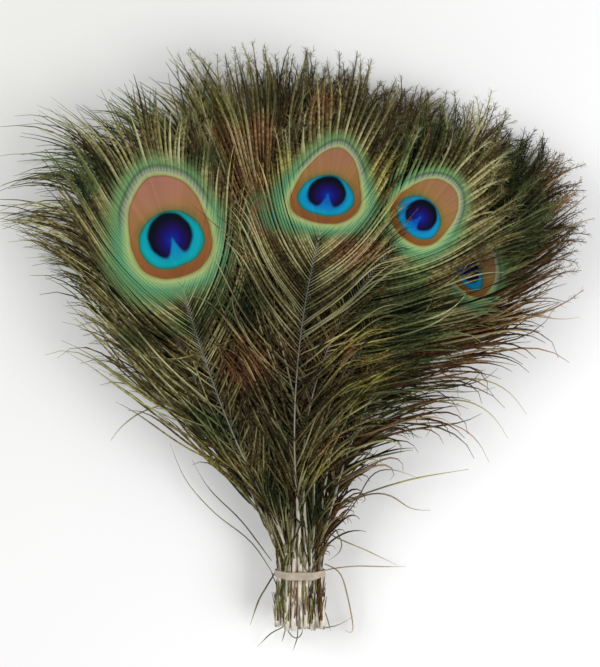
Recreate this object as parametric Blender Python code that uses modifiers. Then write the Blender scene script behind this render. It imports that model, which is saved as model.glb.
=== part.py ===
"""Bunch of eyed peacock feathers held by one rubber band near their cut quill ends.

The bunch lies on a surface: +Y runs from the cut ends to the feather tips, +X is to the
right seen from above, and +Z is up. Every feather grew as one piece and is one solid: a
round quill that turns into a shaft with a thin vane on both sides, as wide as its barbs
reach. Lengths along a feather are counted from the middle of the band.
"""
import math

import bmesh
import bpy
from mathutils import Vector

MM = 0.001

# The bundle of quills inside the band
ROW_COUNTS = (5, 8, 7, 8, 5)        # quills in each row, top row first
QUILL_RADIUS = 1.4 * MM
QUILL_PITCH = 3.18 * MM             # side by side
ROW_PITCH = 2.76 * MM               # one row above the next
BUNDLE_HEIGHT = 19 * MM             # middle of the bundle above the surface
CUT_LENGTH = 26 * MM                # band to the cut ends

# The rubber band
BAND_WIDTH = 4.5 * MM
BAND_THICKNESS = 1.0 * MM
GAP = 0.3 * MM                      # between any two pieces that touch
BAND_STEPS = 48

# How the feathers fan out: headings in degrees from +Y, positive to the right
HEADING_LEFT = -27.0
HEADING_RIGHT = 14.0
TURN_LENGTH = 30 * MM               # a quill turns to its heading along this
BEND_LEFT = 5.0                     # how far a shaft bends on the way to its eye
BEND_RIGHT = 28.0
BEND_START = 40 * MM

# How they stack: each feather has its own level, and all vanes lie flat beyond LIFT_END
LEVEL_PITCH = 1.45 * MM
LIFT_START = 12 * MM
LIFT_END = 80 * MM

# One feather: the shaft ends at the notch in the eye, and the barbs reach past it
SHAFT_LENGTH = 180 * MM
SHAFT_SPREAD = 8 * MM
SHORTER_RIGHT = 20 * MM             # the shafts get this much shorter towards the right side
VANE_HALF_THICKNESS = 0.2 * MM
VANE_START = 78 * MM
VANE_PAST_NOTCH = 67 * MM
VANE_HALF_WIDTH = 66 * MM
TIP_HALF_WIDTH = 5 * MM
SHAFT_RADII = ((30, 1.4), (60, 1.15), (80, 0.88), (100, 0.8), (180, 0.5))   # mm: place, radius
RIDGE_END = 10 * MM                 # the shaft's ridge is gone this far past the notch

# Where a feather has its cross-sections: mm from the band, then mm from the notch in the eye
SHAFT_SECTIONS = (4, 20, 40, 60, 77, 92, 110, 135, 155)
VANE_SECTIONS = (5, 38, 57)

# The top row, left to right: heading at the band, heading at the eye, shaft length in mm,
# and place in the stack, 0 on top
TOP_ROW = (
    (-26.5, -12.5, 172, 2),
    (-6.5, -3.0, 172, 3),
    (-4.0, 17.0, 184, 0),
    (-3.5, 50.0, 190, 1),
    (0.5, 70.0, 176, 4),
)


def blend(start, end, value):
    """Smooth step from 0 at start to 1 at end."""
    t = min(max((value - start) / (end - start), 0.0), 1.0)
    return t * t * (3 - 2 * t)


def shaft_radius(along):
    """Radius of the shaft at a distance from the band."""
    points = SHAFT_RADII
    place = along / MM
    if place <= points[0][0]:
        return points[0][1] * MM
    for (x0, r0), (x1, r1) in zip(points, points[1:]):
        if place <= x1:
            return (r0 + (r1 - r0) * (place - x0) / (x1 - x0)) * MM
    return points[-1][1] * MM


def slot_places():
    """Place of every quill in the bundle: across, up from its middle, row, slot, row count."""
    places = []
    for row, count in enumerate(ROW_COUNTS):
        up = (len(ROW_COUNTS) - 1) / 2 - row
        for slot in range(count):
            across = (slot - (count - 1) / 2) * QUILL_PITCH
            places.append((across, up * ROW_PITCH, row, slot, count))
    return places


def stack_place(row, slot, count):
    """Place of a feather in its row's part of the stack: neighbours in the stack lie well apart."""
    if row == 0:
        return TOP_ROW[slot][3]
    stride = 3 if count > 5 else 2
    first = count - 1 if row == len(ROW_COUNTS) - 1 else 0
    order = [(first + step * stride) % count for step in range(count)]
    return order.index(slot)


def feather_plan():
    """Facts of every feather: across, up, level, headings and shaft length."""
    total = sum(ROW_COUNTS)
    plan = []
    for number, (across, up, row, slot, count) in enumerate(slot_places()):
        above = sum(ROW_COUNTS[:row]) + stack_place(row, slot, count)
        level = (total - 1 - above) * LEVEL_PITCH + VANE_HALF_THICKNESS
        if row == 0:
            heading, eye_heading, length, _ = TOP_ROW[slot]
            length *= MM
        else:
            side = slot / (count - 1)
            heading = HEADING_LEFT + (HEADING_RIGHT - HEADING_LEFT) * side
            eye_heading = heading + BEND_LEFT + (BEND_RIGHT - BEND_LEFT) * side ** 1.5
            length = SHAFT_LENGTH + SHAFT_SPREAD * math.sin(2.4 * number) - SHORTER_RIGHT * side ** 2
        plan.append({
            "across": across, "base": BUNDLE_HEIGHT + up, "level": level,
            "heading": math.radians(heading), "eye_heading": math.radians(eye_heading),
            "length": length,
        })
    return plan


def heading_at(feather, along):
    """Direction of the shaft, seen from above, at a distance from the band."""
    turned = blend(0, TURN_LENGTH, along)
    bent = min(max((along - BEND_START) / (feather["length"] - BEND_START), 0.0), 1.0)
    return feather["heading"] * turned + (feather["eye_heading"] - feather["heading"]) * bent


def centre_line(feather, stations, step=1 * MM):
    """Points on the shaft seen from above, at the given distances from the band."""
    points = []
    place = Vector((feather["across"], 0.0))
    along = 0.0
    for station in stations:
        if station <= 0:
            points.append((Vector((feather["across"], station)), 0.0))
            continue
        while along < station:
            stride = min(step, station - along)
            angle = heading_at(feather, along + stride / 2)
            place = place + Vector((math.sin(angle), math.cos(angle))) * stride
            along += stride
        points.append((place.copy(), heading_at(feather, station)))
    return points


def height_at(feather, place):
    """Height of the feather over a point: from its row in the band to its level in the stack."""
    lifted = blend(LIFT_START, LIFT_END, place.length)
    return feather["base"] + (feather["level"] - feather["base"]) * lifted


def vane_half_width(along, length):
    """Half the width of the vane: a rounded outline that is widest beside the eye."""
    end = length + VANE_PAST_NOTCH
    if along <= VANE_START:
        return 0.0
    widest = length
    if along < widest:
        t = (along - VANE_START) / (widest - VANE_START)
        return VANE_HALF_WIDTH * math.sin(t * math.pi / 2) ** 0.8
    t = (along - widest) / (end - widest)
    return TIP_HALF_WIDTH + (VANE_HALF_WIDTH - TIP_HALF_WIDTH) * math.sqrt(max(1 - t * t, 0.0))


def section(feather, along):
    """Ten points of the cross-section as (sideways, up): round quill, or shaft with a vane."""
    radius = shaft_radius(along)
    half = VANE_HALF_THICKNESS
    length = feather["length"]
    wing = vane_half_width(along, length)
    if wing == 0.0:
        angles = (90, 58, 20, -20, -58, -90, -122, -160, 160, 122)
        return [(radius * math.cos(math.radians(a)), radius * math.sin(math.radians(a))) for a in angles]
    ridge = max(radius * (1 - blend(length, length + RIDGE_END, along)), half * 1.01)
    shoulder = min(radius, wing / 2)
    return [
        (0, ridge), (shoulder, half), (wing, half), (wing, -half), (shoulder, -half),
        (0, -ridge), (-shoulder, -half), (-wing, -half), (-wing, half), (-shoulder, half),
    ]


def make_material(name, colour, roughness):
    """Plain finish of one piece."""
    material = bpy.data.materials.new(name)
    material.use_nodes = True
    shader = material.node_tree.nodes["Principled BSDF"]
    shader.inputs["Base Color"].default_value = (*colour, 1.0)
    shader.inputs["Roughness"].default_value = roughness
    shader.inputs["Metallic"].default_value = 0.0
    return material


def add_piece(name, mesh, material, holder):
    """Put a mesh in the bunch as its own named object."""
    mesh.materials.append(material)
    piece = bpy.data.objects.new(name, mesh)
    bunch.objects.link(piece)
    piece.parent = holder
    return piece


def make_feather(name, feather, material, holder):
    """Loft one feather from its cut quill end to the tip of its vane.

    The lowest feather is pressed flat where it meets the surface.
    """
    length = feather["length"]
    stations = [-CUT_LENGTH] + [s * MM for s in SHAFT_SECTIONS]
    stations += [length + s * MM for s in VANE_SECTIONS] + [length + VANE_PAST_NOTCH]
    shape = bmesh.new()
    rings = []
    for along, (place, angle) in zip(stations, centre_line(feather, stations)):
        sideways = Vector((math.cos(angle), -math.sin(angle)))
        ring = []
        for side, up in section(feather, along):
            spot = place + sideways * side
            level = height_at(feather, spot if along > 0 else Vector((0, 0)))
            ring.append(shape.verts.new((spot.x, spot.y, max(level + up, 0.0))))
        rings.append(ring)
    for ring, following in zip(rings, rings[1:]):
        for point in range(len(ring)):
            beside = (point + 1) % len(ring)
            shape.faces.new((ring[point], ring[beside], following[beside], following[point]))
    shape.faces.new(reversed(rings[0]))
    shape.faces.new(rings[-1])
    bmesh.ops.recalc_face_normals(shape, faces=shape.faces)
    mesh = bpy.data.meshes.new(name)
    shape.to_mesh(mesh)
    shape.free()
    return add_piece(name, mesh, material, holder)


def make_band(material, holder):
    """Rubber band: a flat ring drawn tight round the bundle, so it follows the outer quills."""
    places = slot_places()
    reach = QUILL_RADIUS + GAP
    shape = bmesh.new()
    outline = []
    for step in range(BAND_STEPS):
        angle = 2 * math.pi * step / BAND_STEPS
        out = Vector((math.cos(angle), math.sin(angle)))
        outermost = max(places, key=lambda p: p[0] * out.x + p[1] * out.y)
        x = outermost[0] + reach * out.x
        z = BUNDLE_HEIGHT + outermost[1] + reach * out.y
        outline.append(shape.verts.new((x, -BAND_WIDTH / 2, z)))
    edges = [shape.edges.new((outline[i - 1], outline[i])) for i in range(BAND_STEPS)]
    strip = bmesh.ops.extrude_edge_only(shape, edges=edges)
    moved = [part for part in strip["geom"] if isinstance(part, bmesh.types.BMVert)]
    bmesh.ops.translate(shape, verts=moved, vec=(0, BAND_WIDTH, 0))
    middle = Vector((0, 0, BUNDLE_HEIGHT))
    shape.normal_update()
    for face in shape.faces:
        out = face.calc_center_median() - middle
        out.y = 0
        if face.normal.dot(out) < 0:
            face.normal_flip()
    mesh = bpy.data.meshes.new("rubber_band")
    shape.to_mesh(mesh)
    shape.free()
    band = add_piece("rubber_band", mesh, material, holder)
    wall = band.modifiers.new("wall", "SOLIDIFY")
    wall.thickness = BAND_THICKNESS
    wall.offset = 1.0
    return band


for old in list(bpy.data.objects):
    bpy.data.objects.remove(old, do_unlink=True)

bunch = bpy.data.collections.new("peacock_feather_bunch")
bpy.context.scene.collection.children.link(bunch)
centre = bpy.data.objects.new("bunch_centre", None)
bunch.objects.link(centre)

feather_finish = make_material("feather", (0.07, 0.062, 0.028), 0.55)
band_finish = make_material("band", (0.62, 0.50, 0.43), 0.6)

pieces = []
for count, facts in enumerate(feather_plan(), start=1):
    pieces.append(make_feather(f"feather_{count:02d}", facts, feather_finish, centre))
pieces.append(make_band(band_finish, centre))

# The origin is on the surface, under the middle of the whole bunch
corners = [point.co for piece in pieces for point in piece.data.vertices]
for axis in (0, 1):
    values = [corner[axis] for corner in corners]
    centre.location[axis] = -(min(values) + max(values)) / 2
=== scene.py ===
"""A bunch of eyed peacock feathers with a rubber band round the cut quills, lying on a table."""

import math

import bmesh
import bpy
import numpy as np
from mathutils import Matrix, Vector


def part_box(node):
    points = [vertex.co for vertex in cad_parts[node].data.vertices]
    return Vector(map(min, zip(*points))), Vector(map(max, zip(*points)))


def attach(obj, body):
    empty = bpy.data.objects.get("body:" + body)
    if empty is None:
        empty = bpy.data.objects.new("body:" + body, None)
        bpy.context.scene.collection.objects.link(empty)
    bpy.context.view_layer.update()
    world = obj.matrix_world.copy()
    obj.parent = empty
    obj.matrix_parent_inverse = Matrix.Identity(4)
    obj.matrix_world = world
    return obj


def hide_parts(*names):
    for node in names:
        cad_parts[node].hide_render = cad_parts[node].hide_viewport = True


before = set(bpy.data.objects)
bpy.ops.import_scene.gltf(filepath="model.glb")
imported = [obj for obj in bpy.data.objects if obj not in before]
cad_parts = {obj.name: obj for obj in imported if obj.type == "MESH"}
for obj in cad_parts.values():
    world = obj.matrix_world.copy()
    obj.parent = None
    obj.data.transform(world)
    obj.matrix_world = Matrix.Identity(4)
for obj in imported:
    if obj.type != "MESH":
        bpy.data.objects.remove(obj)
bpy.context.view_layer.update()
MM = 0.001


# ---- Quills and shafts ----
# Each feather is one shaft of keratin: a round cut quill inside the band that thins towards
# the eye. The quills stand in five rows, and beyond the band each shaft has its own heading
# and its own level in the stack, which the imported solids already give.
band_low, band_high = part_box("rubber_band")
BUNCH_X = (band_low.x + band_high.x) / 2
BUNCH_Y = (band_low.y + band_high.y) / 2
BUNCH_Z = (band_low.z + band_high.z) / 2
# Quills in each row from the top, with their size and how close they stand at the band
ROW_COUNTS = (5, 8, 7, 8, 5)
QUILL_RADIUS = 1.4 * MM
QUILL_PITCH = 3.18 * MM
ROW_PITCH = 2.76 * MM
CUT_LENGTH = 26 * MM
# Heading and bend of the shafts at the far left and the far right, in degrees, then where they
# turn, bend and lift to their levels, counted from the band
HEADINGS = (-27.0, 14.0)
BENDS = (5.0, 28.0)
TURN_LENGTH = 30 * MM
BEND_START = 40 * MM
LEVEL_PITCH = 1.45 * MM
LIFT = (12 * MM, 80 * MM)
SHAFT_STEP = 1 * MM
# The band squeezes the quills by this share, and this is how thick a shaft is along its length
SQUEEZE = 0.12
SQUEEZE_LENGTH = 14 * MM
SHAFT_PLACES = np.array((-26, 10, 30, 60, 100, 150, 190)) * MM
SHAFT_RADII = np.array((1.4, 1.35, 0.9, 0.42, 0.3, 0.24, 0.16)) * MM

# A feather under the top row: its length in mm, how much that varies, and how much shorter it
# is on the right
UNDER_LENGTH = 180
UNDER_VARIES = 8
SHORTER_RIGHT = 20

# The five feathers on top, left to right: heading at the band, heading at the eye, length in
# mm and place in the stack, the reach of the barbs on the left, on the right and past the eye,
# their tone from moss to rust and their painted light, a painted shade for feathers that lie
# deeper in the stack, then the eye: width, height, turn, lean, how much narrower its top is,
# how far it sits aside in mm, and how blue its ring is
TOP_ROW = (
    (-26.5, -12.5, 172, 2, (1.34, 0.92, 1.02), 0.41, 1.0, (1.0, 1.0, -1.5, 0.0, 0.0, 0.0, 0.12)),
    (-6.5, -3.0, 172, 3, (0.62, 0.8, 0.95), 0.76, 0.8, (0.35, 0.35, 0.0, 0.0, 0.0, 0.0, 0.5)),
    (-4.0, 17.0, 185, 0, (0.78, 0.8, 0.92), 0.6, 0.96, (0.8, 0.73, -11.0, 0.14, 0.2, -1.8, 0.75)),
    (-3.5, 50.0, 188, 1, (1.0, 1.05, 0.8), 0.42, 1.0, (0.73, 0.68, -3.0, 0.0, 0.0, -2.2, 0.95)),
    (0.5, 62.0, 180, 4, (0.9, 0.85, 0.8), 0.2, 0.48, (0.86, 0.45, -5.0, 0.0, 0.0, 4.6, 1.0)),
)


def ease(start, end, value):
    """Smooth step from 0 at start to 1 at end, whichever of them is larger."""
    t = np.clip((value - start) / (end - start), 0, 1)
    return t * t * (3 - 2 * t)


def stack_place(row, slot, count):
    """How many feathers of its own row lie over a feather. Neighbours keep a gap in the stack."""
    if row == 0:
        return TOP_ROW[slot][3]
    stride = 3 if count > 5 else 2
    first = count - 1 if row == len(ROW_COUNTS) - 1 else 0
    return [(first + step * stride) % count for step in range(count)].index(slot)


def feather_facts():
    """Place, headings, length, level and eye of every feather, in the order of their nodes."""
    facts = []
    for row, count in enumerate(ROW_COUNTS):
        for slot in range(count):
            number = len(facts)
            above = sum(ROW_COUNTS[:row]) + stack_place(row, slot, count)
            side = slot / (count - 1)
            varied = math.sin(2.4 * number)
            draw = np.random.default_rng(100 + number)
            if row == 0:
                heading, eye_heading, length, _, reach, tone, painted_light, eye = TOP_ROW[slot]
            else:
                heading = HEADINGS[0] + (HEADINGS[1] - HEADINGS[0]) * side
                eye_heading = heading + BENDS[0] + (BENDS[1] - BENDS[0]) * side ** 1.5
                length = UNDER_LENGTH + UNDER_VARIES * varied - SHORTER_RIGHT * side ** 2
                size = draw.uniform(0.72, 0.9) if row > 2 else 0.3
                eye = (size, size, 0.0, 0.0, 0.0, 0.0, draw.uniform(0.2, 0.9))
                # Barbs of a longer feather reach less far past its eye, so all end at one outline
                past = 1.12 - 0.12 * ease(0, 0.35, side) + 0.16 * side - 0.09 * varied
                past = past + 0.05 * ease(0.15, 0.3, side) * ease(0.6, 0.45, side)
                past = past + 0.06 * ease(0.6, 0.9, side)
                reach = (1.14 - 0.14 * side, 1.1 + 0.08 * side, past)
                tone = draw.uniform(0.1, 0.42 + 0.6 * side)
                # Painted shade: feathers under more others get a darker colour for their depth in the
                # stack
                painted_light = 1 - 0.54 * ease(2, 17, above)
            facts.append({
                "name": f"feather_{number + 1:02d}", "number": number, "under": int(row > 0),
                "across": (slot - (count - 1) / 2) * QUILL_PITCH,
                "base": BUNCH_Z + ((len(ROW_COUNTS) - 1) / 2 - row) * ROW_PITCH,
                "level": (sum(ROW_COUNTS) - 1 - above) * LEVEL_PITCH + 0.2 * MM,
                "heading": math.radians(heading), "eye_heading": math.radians(eye_heading),
                "length": length * MM,
                "eye": eye, "side": side, "reach": reach, "tone": tone, "painted_light": painted_light,
                "cut": draw.uniform(0, 2.5) * MM,
            })
    return facts


def height_over(feather, x, y):
    """Height of a feather over points of the table."""
    lifted = ease(LIFT[0], LIFT[1], np.where(y > 0, np.hypot(x, y), 0))
    return feather["base"] + (feather["level"] - feather["base"]) * lifted


def shaft_course(feather):
    """Distance from the band, place from above, heading and height along the shaft's middle."""
    along = np.arange(-CUT_LENGTH - feather["cut"], feather["length"] + SHAFT_STEP / 2, SHAFT_STEP)
    bent = np.clip((along - BEND_START) / (feather["length"] - BEND_START), 0, 1)
    heading = feather["heading"] * ease(0, TURN_LENGTH, along)
    heading = heading + (feather["eye_heading"] - feather["heading"]) * bent
    x = feather["across"] + np.cumsum(np.sin(heading)) * SHAFT_STEP
    y = along[0] + np.cumsum(np.cos(heading)) * SHAFT_STEP
    z = height_over(feather, x, y)
    squeezed = SQUEEZE * np.exp(-(along / SQUEEZE_LENGTH) ** 2)
    x = x - feather["across"] * squeezed
    z = z - (feather["base"] - BUNCH_Z) * squeezed
    return along, x, y, heading, z


def straight_template(sides, rings, turn=0.0):
    """A straight closed prism along Z with a ring at each whole number, made once and bent later."""
    shape = bmesh.new()
    bmesh.ops.create_cone(
        shape, cap_ends=True, segments=sides, radius1=1, radius2=1, depth=rings - 1)
    bmesh.ops.translate(shape, verts=shape.verts, vec=(0, 0, (rings - 1) / 2))
    long_edges = [e for e in shape.edges if abs(e.verts[0].co.z - e.verts[1].co.z) > 0.5]
    if rings > 2:
        bmesh.ops.subdivide_edges(shape, edges=long_edges, cuts=rings - 2, use_grid_fill=False)
    points = np.array([v.co for v in shape.verts])
    faces = [[v.index for v in f.verts] for f in shape.faces]
    shape.free()
    angle = np.arctan2(points[:, 1], points[:, 0]) + turn
    ring = np.rint(points[:, 2]).astype(int)
    corner = np.rint((angle - angle.min()) / (2 * math.pi / sides)).astype(int) % sides
    # Where each corner of each face lies when the prism is opened into a flat strip, with its
    # end caps drawn out a little past the ends
    flat = []
    for face in faces:
        rows, around = ring[face], corner[face]
        if rows.min() == rows.max():
            outwards = np.where(np.arange(len(face)) % 2, 0.015, 0.004) * (1 if rows[0] else -1)
        else:
            outwards = np.zeros(len(face))
            around = np.where((around == 0) & (around.max() == sides - 1) & (sides > 2), sides, around)
            around = np.where(np.ptp(around) > 1, corner[face], around)
        flat.append(np.stack((rows / (rings - 1) + outwards, around / sides), -1))
    return {
        "ring": ring, "rings": rings, "side": np.cos(angle), "up": np.sin(angle),
        "faces": faces, "flat": np.concatenate(flat),
    }


def lay_strands(template, paths, half_widths, half_heights):
    """Bend copies of a template along paths of shape (copies, rings, 3): points of every copy."""
    forward = np.gradient(paths, axis=1)
    sideways = np.stack((forward[..., 1], -forward[..., 0], np.zeros(forward.shape[:2])), -1)
    sideways /= np.linalg.norm(sideways, axis=-1, keepdims=True) + 1e-12
    forward /= np.linalg.norm(forward, axis=-1, keepdims=True) + 1e-12
    upward = np.cross(sideways, forward)
    ring = template["ring"]
    side = template["side"][None, :, None] * half_widths[:, ring, None]
    up = template["up"][None, :, None] * half_heights[:, ring, None]
    return paths[:, ring] + sideways[:, ring] * side + upward[:, ring] * up


SHAFT_TEMPLATE = straight_template(8, 34)
quills = feather_facts()


# ---- Barbs ----
# Hundreds of soft barbs grow along each shaft. Each one is a strand with a raised rib: narrow
# at its root, widest where its fringe is full, and drawn out to a fine tip. Round the eye they
# lie so close that they read as one surface, and past it they part.
RIB_UP = math.radians(90)
TOP_TEMPLATE = straight_template(3, 19, RIB_UP)
UNDER_TEMPLATE = straight_template(3, 12, RIB_UP)
DOWN_TEMPLATE = straight_template(3, 3, RIB_UP)
FRINGE_TEMPLATE = straight_template(3, 2, RIB_UP)

# Each pair is for a feather of the top row and for one under it: the steps between barbs, in
# degrees in the fan over the eye and in mm beside the eye and below it, then half the width of
# a barb in mm, and how far along it starts to draw out to its tip
FAN_STEPS = (2.15, 1.5)
EYE_STEPS = (1.6, 1.4)
LOW_STEPS = (1.7, 2.4)
BARB_HALVES = (0.72, 0.8)
TIP_STARTS = (0.76, 0.65)
# Barbs of the fan grow from the last 45 mm of the shaft and open with their distance from its
# end, up to an angle in degrees that shrinks towards the band. The eye takes the last 66 mm
FAN_SPREAD = (0.6, 36)
FAN_LENGTH = 45
FAN_ANGLE = 50
FAN_POWER = 0.6
EYE_LENGTH = 66
LOW_ANGLE = 11
# Reach of a barb in mm: beside the eye, over it, and down by the band
FULL_REACH = 93
FAN_REACH = 76
LOW_REACH = 34
# Both rows of roots meet over the shaft, and the quills in the middle are bare above the band
ROOT_OVERLAP = 0.3 * MM
BARE_HALF = 6 * MM
BARE_LENGTH = 27
# The closed vane round a full eye, in mm: its middle above the notch, its height over its
# width, and the distances between which it opens
CLOSED_MIDDLE = 7
CLOSED_RATIO = 1.3
CLOSED_EDGE = (23, 30)


def barb_roots(feather):
    """Distance of every root below the notch in mm, from the eye down to the band."""
    under = feather["under"]
    spread = np.arange(*FAN_SPREAD, FAN_STEPS[under])
    fan = FAN_LENGTH * (spread / FAN_ANGLE) ** (1 / FAN_POWER)
    eye = np.arange(fan[-1] + 1.5, EYE_LENGTH, EYE_STEPS[under])
    low = np.arange(eye[-1] + LOW_STEPS[under], feather["length"] / MM + 4, LOW_STEPS[under])
    return np.concatenate((fan, eye, low))


def kept_roots(feather, side, draw):
    """The roots that carry a barb on one side: a few barbs are lost, most of them at the outline."""
    back = barb_roots(feather)
    if side > 0:
        low_part = 1 - ease(80, 150, feather["length"] / MM - back)
        sparse = ease(0.25, 0.9, feather["side"]) * low_part
    else:
        sparse = 0.6 * feather["under"] * ease(0.45, 0.1, feather["side"]) * ease(50, 25, back)
    back = back[draw.random(len(back)) > 0.05 * (back > EYE_LENGTH) + 0.4 * sparse]
    if abs(feather["across"]) < BARE_HALF and feather["base"] > BUNCH_Z - ROW_PITCH / 2:
        back = back[feather["length"] / MM - back > BARE_LENGTH]
    uneven = draw.uniform(-0.3, 0.3, len(back)) * LOW_STEPS[feather["under"]]
    return back + uneven * (back > EYE_LENGTH)


def barb_growth(feather, side, back):
    """How the barbs of one side grow, as shares from 0 to 1 that follow from their roots."""
    place = feather["length"] / MM - back
    loose = ease(22, 80, back)
    # Feathers of the top row are combed straight as far as their eye goes
    combed = 1.0 if feather["under"] else 0.35
    # The bunch is drawn in and wispy on its left side, and its right side hangs out
    left_hand, right_hand = ease(0.5, 0.1, feather["side"]), ease(0.25, 0.9, feather["side"])
    wispy = ease(0.5, 0.15, feather["side"]) * (ease(70, 40, back) if side < 0 else ease(30, 5, back))
    return {
        "place": place, "low": ease(5, 85, place), "fan": 1 - ease(0, 50, back),
        "loose": loose, "rough": loose * (1 - ease(60, 110, place)),
        "astray": ease(40, 90, back) * (combed + (1 - combed) * ease(60, 90, back)),
        "ruffled": combed + (1 - combed) * ease(50, 80, back),
        "tangled": ease(45, 20, back) * ease(0.3, 0.6, feather["side"]),
        "wispy": wispy * feather["under"],
        "drawn_in": left_hand * (1 - ease(110, 160, place)) if side < 0 else 0.0,
        "outer": right_hand if side > 0 else 0.0,
    }


def barb_bends(back, growth, draw):
    """How each barb leaves the shaft, bends, curls and waves, in degrees."""
    n = len(back)
    place, low, loose, outer = (growth[name] for name in ("place", "low", "loose", "outer"))
    angle = FAN_ANGLE * (np.minimum(back, FAN_LENGTH) / FAN_LENGTH) ** FAN_POWER
    angle = np.minimum(angle, LOW_ANGLE + (FAN_ANGLE - LOW_ANGLE) * low)
    angle = angle + draw.normal(0, 1, n) * (0.2 + 2.1 * growth["astray"] + 5 * growth["rough"])
    inwards = (5 + 28 * ease(4, 45, back)) * (1 - 0.4 * loose) * (0.4 + 0.6 * low)
    inwards = inwards - outer * (1 - ease(70, 150, place)) * draw.uniform(25, 70, n)
    # Neighbours stop and curl together in small clumps
    clump = np.cumsum(draw.random(n) < 0.2)
    clump_curl = draw.normal(0, 1, n)[clump]
    clump_end = draw.random(n)[clump]
    uneven = (9 + 16 * loose + 20 * outer * loose) * growth["ruffled"]
    curl = (8 + 14 * loose) + (0.75 * clump_curl + 0.65 * draw.normal(0, 1, n)) * uneven
    curl = curl + draw.normal(0, 24, n) * growth["tangled"]
    wave = draw.normal(0, 1, n) * (0.2 + 2.7 * growth["astray"])
    phase = draw.uniform(0, 6.3, n)
    # Loose barbs cling together in tufts of a few
    tuft = np.cumsum(draw.random(n) < 0.3)
    tuft_place = np.array([place[tuft == one].mean() for one in tuft])
    pull = (place - tuft_place) * 2.8 * ease(45, 75, back)
    return {
        "angle": angle - 13 * growth["drawn_in"], "inwards": inwards, "pull": pull,
        "curl": curl, "wave": wave, "phase": phase, "clump_end": clump_end,
    }


def barb_reach(feather, side, back, growth, clump_end, draw):
    """Every barb's reach in mm, and its share of a full barb's reach."""
    beside, past = feather["reach"][int(side > 0)], feather["reach"][2]
    fan = growth["fan"]
    full = FULL_REACH - (FULL_REACH - FAN_REACH) * fan
    full = np.minimum(full, LOW_REACH + (FULL_REACH - LOW_REACH) * growth["low"])
    full = full * (beside + (past - beside) * fan) * (1 - 0.12 * growth["drawn_in"])
    # Barbs on the right and round the eyes on top end more evenly
    fuzzy = ease(0.35, 0.8, feather["side"])
    trimmed = ease(0.1, 0.5, feather["side"]) if feather["under"] else ease(70, 60, back)
    even = 0.8 + 0.1 * np.maximum(fuzzy, trimmed)
    share = even + (1.08 - even) * (1 - 0.5 * fuzzy) * draw.random(len(back)) ** 2 - 0.1 * clump_end
    # The lowest barbs on the right are short, but for a few strays
    stray = draw.random(len(back)) < 0.07
    short = 0.42 * growth["outer"] * (1 - ease(80, 150, growth["place"]))
    share = share * (1 - short * (1 - 0.9 * stray))
    return full * share, share


def barb_turns(side, back, growth, bends, share, t):
    """Direction of each barb at each of its rings, in degrees from the shaft."""
    turn = bends["angle"][:, None] - bends["inwards"][:, None] * ease(0, 0.8, t * share[:, None])
    turn = turn + bends["pull"][:, None] * (1 - ease(0.05, 0.28, t))
    turn = turn + bends["curl"][:, None] * np.clip((t - 0.6) / 0.4, 0, 1) ** 2
    swing = 34 + 34 * ease(45, 12, back) if side < 0 else 52
    turn = turn - side * (swing * growth["wispy"])[:, None] * ease(0.3, 1.1, t)
    phase = bends["phase"][:, None]
    return turn + bends["wave"][:, None] * (np.sin(phase + 9 * t) - np.sin(phase))


def closed_share(feather, heading, x, y, t):
    """1 where the vane is closed round the eye, 0 where its barbs part. The places x and y count
    from the notch."""
    wide, high, turn = feather["eye"][:3]
    axis = heading + math.radians(turn)
    beyond = (x * math.sin(axis) + y * math.cos(axis)) / MM / high
    beside = (x * math.cos(axis) - y * math.sin(axis)) / MM / wide
    from_eye = np.hypot(beside, (beyond - CLOSED_MIDDLE) / CLOSED_RATIO)
    return (1 - ease(*CLOSED_EDGE, from_eye)) * (1 - ease(0.76, 0.94, t))


def barb_widths(feather, growth, x, y, closed, t, draw):
    """Half width of each barb along it. Where the vane is closed it reaches the next barb."""
    ahead_x, ahead_y = np.gradient(x, axis=1), np.gradient(y, axis=1)
    apart = np.abs(np.gradient(x, axis=0) * ahead_y - np.gradient(y, axis=0) * ahead_x)
    apart = apart / (np.hypot(ahead_x, ahead_y) + 1e-9)
    full = (BARB_HALVES[feather["under"]] - 0.22 * growth["loose"]) * (1 - 0.35 * growth["wispy"])
    full = full * draw.uniform(0.8, 1.15, len(x)) * MM
    grown = 0.45 + 0.55 * ease(0, 0.16, t)
    drawn_out = 1 - 0.82 * ease(TIP_STARTS[feather["under"]], 1.02, t)
    free = full[:, None] * grown * drawn_out
    tight = np.clip(0.85 * apart, 0.1 * MM, 1.8 * MM)
    return free + (np.maximum(tight, free * 0.5) - free) * closed


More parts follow.
